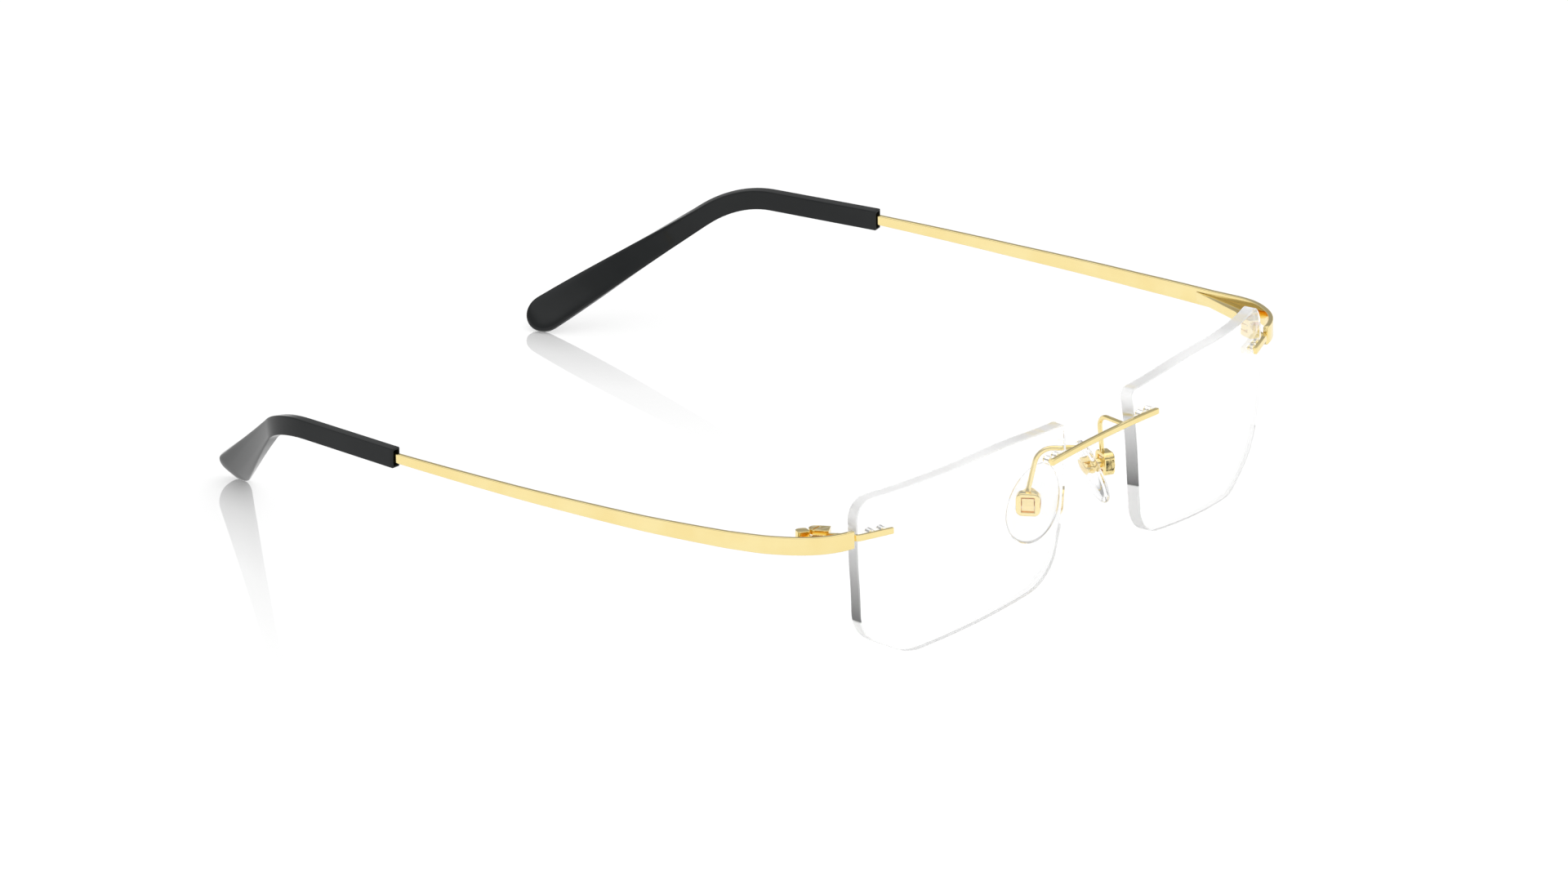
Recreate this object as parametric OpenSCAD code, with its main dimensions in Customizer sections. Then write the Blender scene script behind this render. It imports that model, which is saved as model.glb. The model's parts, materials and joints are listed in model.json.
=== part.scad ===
// Rimless eyeglasses: two drilled lenses, a bridge bar, end pieces, hinged temples and nose pads.
// Axes: +X is the wearer's left, +Y runs back along the temples, +Z is up.
// The origin is the middle of the outer box, at the height of the surface that the glasses stand on.
// Each part is drawn for the wearer's left side; the right side is its mirror image.

/* [Lenses] */
// Thickness of each lens
lens_t = 2.2; // [1.6:0.1:2.6]
// Radius of the front surface
lens_r = 110; // [100:1:130]
// Angle of each lens about the vertical, outer edge back
wrap = 9.8; // [8:0.1:11]
// Angle of each lens about the horizontal, lower edge back
tilt = 2.6; // [2:0.1:4]
// Distance from the middle of the face to the middle of each lens
lens_x = 35; // [34.8:0.1:35.2]
// Height of the lens middle above the surface
lens_z = 16.6; // [16.5:0.05:16.7]

/* [Bridge] */
// Length of the bridge bar
bar_l = 31.7; // [31:0.1:33]
// Height of the bar's section
bar_h = 1.1; // [0.9:0.05:1.3]
// Thickness of the bar, front to back
bar_t = 0.85; // [0.7:0.05:1]
// Rise of the bar's middle over its ends
bar_rise = 0.4; // [0.2:0.1:1]
// Diameter of the nose pad wire
wire_d = 0.85; // [0.7:0.05:1]

/* [Fixings] */
// Diameter of the mounting pins
pin_d = 0.8; // [0.7:0.05:0.85]
// Distance between the two pins of a pair
pin_gap = 2.4; // [2.2:0.1:2.6]
// Diameter of the drilled holes in the lenses
hole_d = 1.4; // [1.35:0.05:1.5]

/* [Hinges] */
// Outside diameter of the hinge knuckles
knuckle_d = 2.6; // [2.4:0.1:2.7]
// Height of the hinge
hinge_h = 3.2; // [3.2:0.1:3.6]
// Diameter of the hinge screw
screw_d = 1.2; // [1:0.05:1.3]

/* [Temples] */
// Thickness of the temple strip
strip_t = 0.84; // [0.7:0.02:0.9]
// Height of the strip at its front end
strip_h_front = 3.2; // [2.8:0.1:3.4]
// Height of the strip where it enters the tip
strip_h_back = 1.68; // [1.4:0.02:1.8]
// Height of the tip at its mouth
tip_h_front = 3.54; // [3.2:0.02:3.8]
// Height of the tip's blade near its end
tip_h_back = 6.6; // [5.5:0.1:7]
// Thickness of the tip
tip_t = 1.85; // [1.7:0.05:2.2]

/* [Nose pads] */
// Width of a nose pad
pad_w = 8.2; // [7:0.1:9]
// Height of a nose pad
pad_h = 14.4; // [13:0.1:15]
// Thickness of a nose pad
pad_t = 2.2; // [2:0.1:2.4]
// Lean of each pad at rest, top towards the nose
pad_lean = 24; // [18:1:26]
// Side of the square pad box
box_w = 4.1; // [3.9:0.1:4.4]

/* [Hidden] */

$fn = 48;
gap = 0.02;   // clearance between fixed faces
run = 0.05;   // radial running clearance

gold = [0.97, 0.86, 0.55];
clear = [0.86, 0.9, 0.92, 0.4];
black = [0.06, 0.06, 0.07];

// ---- vectors and paths ----
function unit(v) = v / norm(v);
function flat(list) = [for (part = list) each part];
function turned(x, y, a) = [x * cos(a) - y * sin(a), x * sin(a) + y * cos(a)];

// A leg, a round bend and a second leg: [start, first direction, second direction, leg length, radius]
function bend(a, corner, b, r) =
    let (d1 = unit(corner - a), d2 = unit(b - corner), half = acos(d1 * d2) / 2)
    [a, d1, d2, norm(corner - a) - r * tan(half), r];
function bend_angle(p) = acos(p[1] * p[2]);
function bend_arc(p) = p[4] * bend_angle(p) * PI / 180;
function bend_side(p) = unit(p[2] - p[1] * (p[1] * p[2]));
function bend_phi(p, s) = min(max((s - p[3]) / p[4] * 180 / PI, 0), bend_angle(p));
function bend_dir(p, s) = p[1] * cos(bend_phi(p, s)) + bend_side(p) * sin(bend_phi(p, s));
function bend_point(p, s) =
    let (phi = bend_phi(p, s), before = min(s, p[3]), after = max(s - p[3] - bend_arc(p), 0))
    p[0] + p[1] * before + p[4] * (p[1] * sin(phi) + bend_side(p) * (1 - cos(phi))) + p[2] * after;

// A section ring at point c: w across, h along the upright direction nearest to up, turned about dir by twist
function oval(i, n, w, h, m) =
    let (a = 360 * (i + 0.5) / n, x = cos(a), y = sin(a))
    [w / 2 * sign(x) * pow(abs(x), 2 / m), h / 2 * sign(y) * pow(abs(y), 2 / m)];
function ring(c, dir, up, n, w, h, m, twist = 0) =
    let (across = unit(cross(dir, up)), rise = cross(across, dir))
    [for (i = [0 : n - 1]) let (q = oval(i, n, w, h, m), p = turned(q[0], q[1], -twist))
        c + across * p[0] + rise * p[1]];

module skin(rings) {
    n = len(rings[0]);
    last = len(rings) - 1;
    polyhedron(points = flat(rings), faces = concat(
        [[for (i = [0 : n - 1]) i]],
        [[for (i = [n - 1 : -1 : 0]) last * n + i]],
        [for (k = [0 : last - 1], i = [0 : n - 1]) [k * n + i, (k + 1) * n + i, k * n + (i + 1) % n]],
        [for (k = [0 : last - 1], i = [0 : n - 1])
            [k * n + (i + 1) % n, (k + 1) * n + i, (k + 1) * n + (i + 1) % n]]));
}

// ---- outlines ----
// A closed outline through corner points [x, y, radius], each corner rounded by an arc
function round_corner(a, v, b, r, steps) =
    let (d1 = unit(v - a), d2 = unit(b - v), turn = acos(d1 * d2),
        left = cross(d1, d2) > 0 ? 1 : -1,
        start = v - d1 * r * tan(turn / 2),
        centre = start + left * r * [-d1[1], d1[0]])
    [for (k = [0 : steps]) let (q = start - centre, t = left * turn * k / steps)
        centre + turned(q[0], q[1], t)];
function rounded(points, steps = 10) =
    let (n = len(points), at = function(i) [points[i % n][0], points[i % n][1]])
    flat([for (i = [0 : n - 1]) round_corner(at(i + n - 1), at(i), at(i + 1), points[i][2], steps)]);
// A strip of even thickness along an open line of points
function ribbon(points, t) =
    let (last = len(points) - 1,
        heading = [for (i = [0 : last]) unit(points[min(i + 1, last)] - points[max(i - 1, 0)])],
        shift = [for (i = [0 : last])
            let (seg = unit(points[min(i + 1, last)] - points[min(i, last - 1)]))
            t / 2 / (heading[i] * seg) * [-heading[i][1], heading[i][0]]])
    concat([for (i = [0 : last]) points[i] + shift[i]],
        [for (i = [last : -1 : 0]) points[i] - shift[i]]);

// ---- places ----
// Lens outline about the lens middle: outer side +X
lens_corners = [[25.7, 14, 4], [25.7, 3.4, 60], [24.1, -11.2, 8], [13.2, -16.8, 10],
    [-21.9, -12.85, 8], [-24.4, -1.1, 60], [-25.8, 15.1, 1.6], [-8.1, 16.4, 90]];
lens_apex = 3.68;
lens_y = -4.45;
function lens_sag(x, z) = lens_r - sqrt(lens_r * lens_r - x * x - z * z) - lens_apex;
// Plan position and height of the point on a lens front at x, z from the lens middle
function lens_front(x, z) =
    let (y = lens_sag(x, z), back = y * cos(tilt) - z * sin(tilt), p = turned(x, back, wrap))
    [lens_x + p[0], lens_y + p[1], lens_z + y * sin(tilt) + z * cos(tilt)];

inner_fix = lens_front(-21.7, 9.98);
outer_fix = lens_front(21.45, 7.9);
outer_turn = wrap + asin(21.45 / lens_r);
plug_t = 0.15;
seat = 0.1;   // from the middle of a plug's collar to the curved lens behind it
bar_back = inner_fix[1] - seat - plug_t - gap;
bar_front = bar_back - bar_t;
bar_z = inner_fix[2];
bar_r = pow(bar_l / 2, 2) / 2 / bar_rise;

pivot = [64, 5.3];
hinge_z = 24.3;
hinge_top = hinge_z + hinge_h / 2;

// Nose pad frame: turned so that its +X points at the nose
box_at = [12.15, -1.9, 16.4];
pad_turn = 150;
box_t = 2;
pad_x = 3.5;   // from the box to the middle of the pad
pad_front = 1;
pad_roll = -16;

// Temple strip in plan: arcs of [radius, turn], from the front end back
strip_start = [61.6, -0.8];
strip_heading = 12;
strip_arcs = [[12, 38], [16.5, 34], [300, 6], [580, 4.42]];
// Point and heading after a share f of arc k
function strip_at(k, f) =
    let (start = k == 0 ? [strip_start, strip_heading] : strip_at(k - 1, 1), r = strip_arcs[k][0],
        a = start[1], b = a + f * strip_arcs[k][1])
    [start[0] + r * [sin(b) - sin(a), cos(a) - cos(b)], b];
strip_end = strip_at(3, 1);
strip_z_back = 23.42;
function strip_z(y) = lookup(y, [[0, 24.3], [8, 24.2], [18, 23.65], [34, 23.3], [60, 23.22],
    [strip_end[0][1], strip_z_back]]);
function strip_h(y) = lookup(y, [[12, strip_h_front], [strip_end[0][1], strip_h_back]]);
// Shares of each arc where the strip has a ring: [arc, first share, step]
strip_marks = flat([for (part = [[0, 0, 0.1], [1, 0.1, 0.1], [2, 0.125, 0.125], [3, 0.1, 0.1]])
    [for (f = [part[1] : part[2] : part[0] == 3 ? 0.95 : 1.01]) strip_at(part[0], f)]]);

// Temple tip: a level leg, a bend, and a leg that runs down, back and in
tip_mouth = [strip_end[0][0], strip_end[0][1], strip_z_back];
tip_path = bend(tip_mouth, [68.5, 115.2, 23.5], [46.4, 140, 2.96], 16);
tip_l = 69.2;
tip_round = 3.6;
tail_l = 48;
up = [0, 0, 1];
function tip_h(s) = lookup(s, [[0, tip_h_front], [20, 3.45], [34, 3.4], [42, 4], [50, 4.8],
    [tip_l - tip_round, tip_h_back]])
    * sqrt(max(1 - pow(max(s - tip_l + tip_round, 0) / tip_round, 2), 0));
function tip_square(s) = lookup(s, [[0, 7], [34, 6], [tip_l - tip_round, 3.6], [tip_l, 3.6]]);
tip_marks = concat([for (s = [0 : 2.4 : tip_l - tip_round - 1]) s],
    [for (a = [0 : 12 : 84]) tip_l - tip_round + tip_round * sin(a)]);
tip_edge_t = function(s) tip_t * (s < tip_l - tip_round ? 1 : sqrt(max(1 - pow((s - tip_l + tip_round)
    / tip_round, 4), 0.02)));
function tip_twist(s) = lookup(s, [[30, 0], [tip_l - tip_round, 45]]);
tip_rings = [for (s = tip_marks) ring(bend_point(tip_path, s), bend_dir(tip_path, s), up, 24,
    tip_edge_t(s), tip_h(s), tip_square(s), tip_twist(s))];
tail_marks = [for (s = tip_marks) if (s <= tail_l) s];
function tail_h(s) = lookup(s, [[0, strip_h_back], [tail_l, 1.1]]);

mid_y = (max([for (p = flat(tip_rings)) p[1]]) + bar_front) / 2;

module place() translate([0, -mid_y, 0]) children();
module left() place() children();
module right() place() mirror([1, 0, 0]) children();
module at_outer_fix() translate(outer_fix) rotate([0, 0, outer_turn]) children();
module at_pad() translate(box_at) rotate([0, 0, pad_turn]) children();
module leaning() translate([pad_x, 0, 0]) rotate([0, pad_lean, 0]) children();
// A cylinder along +Y from y0 to y1
module rod_y(x, z, d, y0, y1) translate([x, y0, z]) rotate([-90, 0, 0]) cylinder(d = d, h = y1 - y0);

// ---- lenses ----
module pin_pair(d, y0, y1) for (s = [-1, 1]) rod_y(s * pin_gap / 2, 0, d, y0, y1);

module lens() {
    difference() {
        translate([lens_x, lens_y, lens_z]) rotate([0, 0, wrap]) rotate([tilt, 0, 0])
            intersection() {
                translate([0, 8, 0]) rotate([90, 0, 0]) linear_extrude(16) polygon(rounded(lens_corners));
                translate([0, lens_r - lens_apex, 0]) difference() {
                    sphere(r = lens_r, $fn = 360);
                    sphere(r = lens_r - lens_t, $fn = 360);
                }
            }
        translate(inner_fix) pin_pair(hole_d, -2, 4);
        at_outer_fix() pin_pair(hole_d, -2, 4);
    }
}
module lens_left() color(clear) left() lens();
module lens_right() color(clear) right() lens();

// Clear double plug: a thin collar on the lens front and two sleeves through the lens
module double_plug() {
    collar_h = bar_h + 0.6;
    difference() {
        union() {
            for (s = [-1, 1]) {
                rod_y(s * pin_gap / 2, 0, collar_h, -plug_t - seat, -seat);
                rod_y(s * pin_gap / 2, 0, hole_d - 2 * gap, -plug_t, lens_t + 0.2);
            }
            translate([-pin_gap / 2, -plug_t - seat, -collar_h / 2]) cube([pin_gap, plug_t, collar_h]);
        }
        pin_pair(pin_d + 2 * gap, -1, 4);
    }
}
module bridge_plug_left() color(clear) left() translate(inner_fix) double_plug();
module bridge_plug_right() color(clear) right() translate(inner_fix) double_plug();
module end_plug_left() color(clear) left() at_outer_fix() double_plug();
module end_plug_right() color(clear) right() at_outer_fix() double_plug();

// ---- bridge ----
module bar_outline() {
    intersection() {
        translate([0, bar_z + bar_rise - bar_r]) difference() {
            circle(r = bar_r + bar_h / 2, $fn = 720);
            circle(r = bar_r - bar_h / 2, $fn = 720);
        }
        translate([-bar_l / 2, bar_z - 3]) square([bar_l, 6]);
    }
}
module bridge_bar() color(gold) place() {
    translate([0, bar_back, 0]) rotate([90, 0, 0]) linear_extrude(bar_t) bar_outline();
    for (s = [-1, 1])
        translate([s * inner_fix[0], bar_back, bar_z]) pin_pair(pin_d, -0.2, lens_t + 0.8);
}

// Pad arm: a bent wire with one end flat on the back of the bar and the other flat on top of the box
pad_arm_path = bend([6.9, bar_back + gap, bar_z], [9.8, -2.3, bar_z - 0.6], [11.72, -1.54, 18.45], 3.4);
module pad_arm() {
    bent = pad_arm_path[3] + bend_arc(pad_arm_path);
    drop = bend_point(pad_arm_path, bent)[2] - box_at[2] - box_w / 2 - gap;
    arm_l = bent - drop / pad_arm_path[2][2];
    marks = concat([0, 0.3], [for (k = [0 : 10]) pad_arm_path[3] + bend_arc(pad_arm_path) * k / 10],
        [arm_l - 0.4, arm_l]);
    function facing(s) = s == 0 ? [0, 1, 0] : s == arm_l ? [0, 0, -1] : bend_dir(pad_arm_path, s);
    skin([for (s = marks) ring(bend_point(pad_arm_path, s), facing(s), [1, -0.3, 0], 14, wire_d, wire_d, 2)]);
}
module pad_arm_left() color(gold) left() pad_arm();
module pad_arm_right() color(gold) right() pad_arm();

// ---- nose pads, drawn about the pad box with +X towards the nose ----
module pad_box() {
    window_w = 2.2;
    window_h = 2.6;
    difference() {
        translate([-box_t / 2, 0, 0]) rotate([90, 0, 90]) linear_extrude(box_t)
            polygon(rounded([for (q = [[1, 1], [-1, 1], [-1, -1], [1, -1]])
                [q[0] * box_w / 2, q[1] * box_w / 2, 1.1]]));
        cube([box_t + 1, window_w, window_h], center = true);
        rod_y(0, 0, pin_d + 2 * gap, -box_w, box_w);
        rod_y(0, 0, 1.4, box_w / 2 - 0.4, box_w);
    }
}
module pad_screw() {
    head_t = 0.34;
    difference() {
        union() {
            rod_y(0, 0, pin_d, -box_w / 2 + 0.1, box_w / 2 - head_t);
            rod_y(0, 0, 1.3, box_w / 2 - head_t - gap, box_w / 2 - gap);
        }
        translate([-0.12, box_w / 2 - 0.2, -1]) cube([0.24, 1, 2]);
    }
}
// A disc or rod along +X from x0 to x1
module rod_x(d, x0, x1) translate([x0, 0, 0]) rotate([0, 90, 0]) cylinder(d = d, h = x1 - x0);

// Metal core of a pad: a block on the screw, a shaft and a slotted head that leans with the pad
shaft_d = 1.64;
head_d = 2.9;
head_t = 0.5;
module pad_core() {
    difference() {
        union() {
            cube([1.6, 2, 2.2], center = true);
            rod_x(shaft_d, 0, pad_x - 0.2);
            leaning() rod_x(head_d, -head_t / 2, head_t / 2);
        }
        rod_y(0, 0, pin_d + 2 * run, -2, 2);
        leaning() translate([0.05, -2, -0.15]) cube([1, 4, 0.3]);
    }
}
module nose_pad() {
    egg = [for (a = [0 : 10 : 350])
        [pad_w / 2 * cos(a) * (1 - 0.12 * sin(a)), pad_h / 2 * sin(a) - 1.2]];
    difference() {
        leaning() translate([-pad_t / 2, pad_front, 0]) rotate([pad_roll, 0, 0]) rotate([90, 0, 90])
            linear_extrude(pad_t) polygon(egg);
        rod_x(shaft_d + 2 * gap, 0, pad_x);
        leaning() rod_x(head_d + 2 * gap, -head_t / 2 - gap, head_t / 2 + gap);
    }
}
module pad_box_left() color(gold) left() at_pad() pad_box();
module pad_box_right() color(gold) right() at_pad() pad_box();
module pad_screw_left() color(gold) left() at_pad() pad_screw();
module pad_screw_right() color(gold) right() at_pad() pad_screw();
module pad_core_left() color(gold) left() at_pad() pad_core();
module pad_core_right() color(gold) right() at_pad() pad_core();
module nose_pad_left() color(clear) left() at_pad() nose_pad();
module nose_pad_right() color(clear) right() at_pad() nose_pad();

// ---- end pieces and hinges ----
knuckle_t = (hinge_h - 1.4) / 2;
mid_t = 1;
washer_t = 0.16;
screw_head_d = 2;
screw_head_t = 0.43;
arm_t = 0.66;
arm_h = 1.1;
yoke_turn = atan2(-2.2, -1.1);

module ring_z(d, bore, z0, h) translate([pivot[0], pivot[1], z0]) difference() {
    cylinder(d = d, h = h);
    translate([0, 0, -1]) cylinder(d = bore, h = h + 2);
}

module end_piece() {
    arm_off = -(seat + plug_t + gap + arm_t / 2);
    from = [outer_fix[0], outer_fix[1]] + turned(-2.7, arm_off, outer_turn);
    corner = [outer_fix[0], outer_fix[1]] + turned(4.4, arm_off, outer_turn);
    past = [61.1, 0.1];
    wall = pivot + 2.1 * [cos(yoke_turn), sin(yoke_turn)];
    line = concat([from], round_corner(from, corner, past, 0.8, 8), round_corner(corner, past, wall, 1.5, 4),
        [wall]);
    low = outer_fix[2] - arm_h / 2;
    translate([0, 0, low]) linear_extrude(arm_h) polygon(ribbon(line, arm_t));
    at_outer_fix() pin_pair(pin_d, arm_off, lens_t + 0.4);
    // yoke: a back wall and the two outer knuckles
    translate([pivot[0], pivot[1], hinge_top - hinge_h]) rotate([0, 0, yoke_turn])
        translate([1.6, -knuckle_d / 2, 0]) cube([0.8, knuckle_d, hinge_h]);
    for (z = [hinge_top - hinge_h, hinge_top - knuckle_t]) difference() {
        union() {
            translate([pivot[0], pivot[1], z]) cylinder(d = knuckle_d, h = knuckle_t);
            translate([pivot[0], pivot[1], z]) rotate([0, 0, yoke_turn])
                translate([0, -knuckle_d / 2, 0]) cube([2, knuckle_d, knuckle_t]);
        }
        translate([pivot[0], pivot[1], z - 1]) cylinder(d = screw_d + 2 * gap, h = knuckle_t + 2);
        translate([pivot[0], pivot[1], hinge_top - screw_head_t - gap])
            cylinder(d = screw_head_d + 2 * gap, h = 1);
    }
}
module end_piece_left() color(gold) left() end_piece();
module end_piece_right() color(gold) right() end_piece();

module hinge_screw() {
    difference() {
        translate([pivot[0], pivot[1], 0]) union() {
            translate([0, 0, hinge_top - hinge_h]) cylinder(d = screw_d, h = hinge_h - 0.2);
            translate([0, 0, hinge_top - screw_head_t]) cylinder(d = screw_head_d, h = screw_head_t);
        }
        translate([pivot[0] - 2, pivot[1] - 0.15, hinge_top - 0.25]) cube([4, 0.3, 1]);
    }
}
module hinge_washers() {
    for (z = [hinge_z - mid_t / 2 - gap - washer_t, hinge_z + mid_t / 2 + gap])
        ring_z(knuckle_d - 0.2, screw_d + 2 * gap, z, washer_t);
}
module hinge_screw_left() color(gold) left() hinge_screw();
module hinge_screw_right() color(gold) right() hinge_screw();
module hinge_washers_left() color(clear) left() hinge_washers();
module hinge_washers_right() color(clear) right() hinge_washers();

// Temple side of the hinge: the middle knuckle, a block and a finger that tapers back into the strip
module hinge_leaf() {
    leaf_turn = 30;
    finger_top = hinge_z + 0.1;
    floor_z = hinge_top - hinge_h;
    outer = [for (f = [0.4 : 0.1 : 1]) strip_at(1, f), for (f = [0.05 : 0.05 : 0.3]) strip_at(2, f)];
    face = [for (m = outer) m[0] + (strip_t / 2 + 0.03) * [-sin(m[1]), cos(m[1])]];
    root = face[len(face) - 1];
    difference() {
        union() {
            translate([pivot[0], pivot[1], hinge_z - mid_t / 2]) cylinder(d = knuckle_d, h = mid_t);
            translate([pivot[0], pivot[1], hinge_z - mid_t / 2]) rotate([0, 0, leaf_turn])
                translate([0, -1, 0]) cube([2.4, 2, mid_t]);
            translate([pivot[0], pivot[1], floor_z]) rotate([0, 0, leaf_turn]) translate([1.55, -1.1, 0])
                linear_extrude(hinge_h)
                    polygon(rounded([[0, 0, 0.3], [2.2, 0, 0.5], [2.2, 2.2, 0.9], [0, 2.2, 0.7]]));
            translate([0, 0, floor_z]) linear_extrude(finger_top - floor_z)
                polygon(concat([[66.3, 6.7], [68.2, 6.2], [69.4, 7.9]], [for (q = face) if (q[1] > 9) q],
                    [root + [-0.1, -0.2], [68.2, 10.2], [67.2, 8.8]]));
        }
        translate([pivot[0], pivot[1], hinge_z - 3]) cylinder(d = screw_d + 2 * run, h = 6);
    }
}
module hinge_leaf_left() color(gold) left() hinge_leaf();
module hinge_leaf_right() color(gold) right() hinge_leaf();

// ---- temples ----
module temple_strip() {
    strip_rings = [for (m = strip_marks)
        ring([m[0][0], m[0][1], strip_z(m[0][1])], [cos(m[1]), sin(m[1]), 0], up, 4,
            strip_t * sqrt(2), strip_h(m[0][1]) * sqrt(2), 2)];
    tail_rings = [for (s = tail_marks)
        ring(bend_point(tip_path, s), bend_dir(tip_path, s), up, 4, strip_t * sqrt(2), tail_h(s) * sqrt(2), 2,
            tip_twist(s))];
    skin(concat(strip_rings, tail_rings));
}
module temple_tip() {
    room = 0.12;
    mouth = [for (s = [0, 1.4]) ring(bend_point(tip_path, s), bend_dir(tip_path, s), up, 24, 1.35, 2.9, 7)];
    bore = [for (s = tail_marks) ring(bend_point(tip_path, s), bend_dir(tip_path, s), up, 24,
        strip_t + room, tail_h(s) + room, 16, tip_twist(s))];
    inside = concat([for (k = [len(bore) - 1 : -1 : 1]) bore[k]], [mouth[1], mouth[0]]);
    skin(concat(inside, tip_rings));
}
module temple_strip_left() color(gold) left() temple_strip();
module temple_strip_right() color(gold) right() temple_strip();
module temple_tip_left() color(black) left() temple_tip();
module temple_tip_right() color(black) right() temple_tip();

lens_left();
lens_right();
bridge_bar();
bridge_plug_left();
bridge_plug_right();
pad_arm_left();
pad_arm_right();
pad_box_left();
pad_box_right();
pad_screw_left();
pad_screw_right();
nose_pad_left();
nose_pad_right();
pad_core_left();
pad_core_right();
end_piece_left();
end_piece_right();
end_plug_left();
end_plug_right();
hinge_screw_left();
hinge_screw_right();
hinge_washers_left();
hinge_washers_right();
hinge_leaf_left();
hinge_leaf_right();
temple_strip_left();
temple_strip_right();
temple_tip_left();
temple_tip_right();
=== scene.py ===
"""Rimless eyeglasses with gold hardware and black tips, on a white table.

Shapes are drawn in millimetres, in the working frame of the design: +X is the wearer's left, Y is 0 near
the hinges and grows back along the temples, Z is the height above the table. place() turns that into the
row frame in metres. Each piece is drawn for the wearer's left; the right one is its mirror image.
"""
import json
import math

import bmesh
import bpy
import numpy as np
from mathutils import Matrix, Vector
from mathutils.geometry import delaunay_2d_cdt

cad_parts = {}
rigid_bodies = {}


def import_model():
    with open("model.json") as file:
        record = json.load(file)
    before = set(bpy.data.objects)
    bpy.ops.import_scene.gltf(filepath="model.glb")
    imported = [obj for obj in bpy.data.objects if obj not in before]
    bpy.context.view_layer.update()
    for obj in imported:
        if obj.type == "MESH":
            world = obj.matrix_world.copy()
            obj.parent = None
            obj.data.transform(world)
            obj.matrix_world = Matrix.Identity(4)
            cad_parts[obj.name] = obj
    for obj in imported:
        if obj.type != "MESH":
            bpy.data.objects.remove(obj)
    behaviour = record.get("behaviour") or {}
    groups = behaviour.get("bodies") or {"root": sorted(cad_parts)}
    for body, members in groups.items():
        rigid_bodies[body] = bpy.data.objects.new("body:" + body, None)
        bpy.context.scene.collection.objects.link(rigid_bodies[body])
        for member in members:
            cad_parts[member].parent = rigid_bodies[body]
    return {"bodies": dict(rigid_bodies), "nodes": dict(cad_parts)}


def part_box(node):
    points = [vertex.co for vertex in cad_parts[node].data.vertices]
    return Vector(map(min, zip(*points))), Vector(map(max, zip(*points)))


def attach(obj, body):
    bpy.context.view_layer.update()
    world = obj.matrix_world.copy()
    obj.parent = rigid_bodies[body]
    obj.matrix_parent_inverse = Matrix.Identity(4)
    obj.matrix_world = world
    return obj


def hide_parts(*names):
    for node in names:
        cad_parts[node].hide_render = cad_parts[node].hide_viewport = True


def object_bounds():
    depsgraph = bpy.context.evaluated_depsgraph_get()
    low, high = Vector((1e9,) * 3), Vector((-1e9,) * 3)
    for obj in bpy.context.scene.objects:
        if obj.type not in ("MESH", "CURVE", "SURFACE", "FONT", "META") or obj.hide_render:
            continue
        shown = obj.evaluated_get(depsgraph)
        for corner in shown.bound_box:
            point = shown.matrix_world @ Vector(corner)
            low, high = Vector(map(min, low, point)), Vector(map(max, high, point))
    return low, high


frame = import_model()
cad_low, cad_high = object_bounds()

MM = 0.001
UP = np.array([0.0, 0.0, 1.0])

# ---- driving dimensions, in millimetres and degrees ----
LENS_T = 2.2
LENS_R = 110.0
LENS_APEX = 3.68
LENS_WRAP = 9.8
LENS_TILT = 2.6
LENS_AT = np.array([35.0, -4.45, 16.6])
LENS_BEVEL = 0.16
# Lens outline about the lens middle, outer side +X: corner x, corner z, radius
LENS_CORNERS = [
    (25.7, 14, 4),
    (25.7, 3.4, 60),
    (24.1, -11.2, 8),
    (13.2, -16.8, 10),
    (-21.9, -12.85, 8),
    (-24.4, -1.1, 60),
    (-25.8, 15.1, 1.6),
    (-8.1, 16.4, 90),
]
INNER_FIX = (-21.7, 9.98)
OUTER_FIX = (21.45, 7.9)
HOLE_D = 1.4
PIN_GAP = 2.4
PIN_D = 0.8
PLUG_T = 0.15
SEAT = 0.1
GAP = 0.02

BAR_L = 31.7
BAR_H = 1.1
BAR_T = 0.85
BAR_RISE = 0.4
WIRE_D = 0.85

STRIP_T = 0.84
STRIP_START = (61.6, -0.8)
STRIP_HEADING = 12.0
STRIP_ARCS = [(12, 38), (16.5, 34), (300, 6), (580, 4.42)]
STRIP_H = (3.2, 1.68)
TIP_BEND_R = 16.0
TIP_L = 69.2
TIP_ROUND = 3.6
TIP_T = 1.85
TAIL_L = 48.0

BOX_AT = np.array([12.15, -1.9, 16.4])
BOX_W = 4.1
PAD_TURN = 150.0
PAD_X = 3.5
PAD_FRONT = 1.0
PAD_LEAN = 24.0
PAD_ROLL = -16.0
PAD_W = 8.2
PAD_H = 14.4
PAD_T = 2.2
PAD_DROP = 1.2
PAD_WIDEST = 0.95


# Painted reflection greys of the lens rims: share of the height RIM_TOP (in m), brightness
RIM_TOP = 0.034
RIM_PAINTED_REFLECTION = [
    (0.0, 1.0),
    (0.232, 1.0),
    (0.242, 0.03),
    (0.3, 0.08),
    (0.42, 0.19),
    (0.59, 0.36),
    (0.8, 0.62),
    (0.88, 0.95),
]
# How much the painted reflection greys are pressed together near the nose, and the distances from it, in m,
# where that fades
RIM_PRESS = 1.274
RIM_PRESS_X = (0.014, 0.04)


# ---- vectors and paths ----
def unit(v):
    """The vector at length 1."""
    v = np.asarray(v, float)
    return v / np.linalg.norm(v)


def turned(x, y, degrees):
    """The plan vector x, y, turned to the left."""
    a = math.radians(degrees)
    return np.array([x * math.cos(a) - y * math.sin(a), x * math.sin(a) + y * math.cos(a)])


def lookup(x, table):
    """The value at x in a table of (key, value) pairs, in a straight line between them."""
    keys, values = zip(*table)
    return float(np.interp(x, keys, values))


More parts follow.
